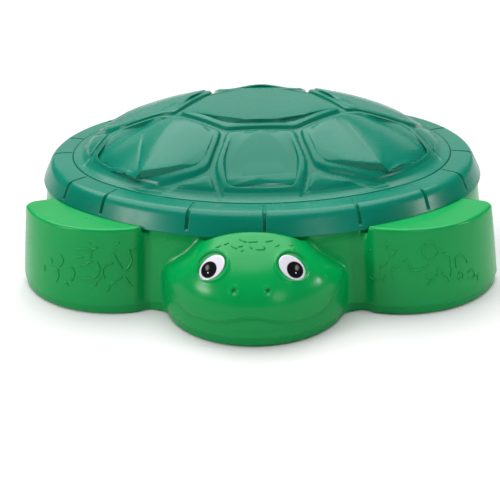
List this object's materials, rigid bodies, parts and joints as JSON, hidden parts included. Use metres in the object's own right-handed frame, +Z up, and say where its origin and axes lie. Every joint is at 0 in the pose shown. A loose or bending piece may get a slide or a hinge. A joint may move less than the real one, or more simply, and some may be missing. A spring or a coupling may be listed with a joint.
{
  "type": "sandbox with cover",
  "caption": "Children's turtle-shaped sandbox: a hollow green moulded basin with seats shaped as feet and a friendly head, under a loose domed lift-off cover.",
  "frame": {"origin": "on the floor, under the middle of the cover and basin", "axes": "+X to the side, across the feet; -Y towards the head; +Z up"},
  "size_m": [1.098, 0.984, 0.3543],
  "materials": {
    "base_green": "satin gloss moulded polyethylene, fine orange peel",
    "cover_green": "satin gloss moulded polyethylene, fine orange peel",
    "eye_label": "glossy printed film, white with a black pupil"
  },
  "bodies": {
    "sandbox": {"base": "base_green", "eye_label_left": "eye_label", "eye_label_right": "eye_label"},
    "lid": {"cover": "cover_green"}
  },
  "joints": [
    {"name": "cover_lift", "type": "slide", "parent": "sandbox", "child": "lid", "axis": [0, 0, 1], "range_m": [0, 0.3]}
  ]
}
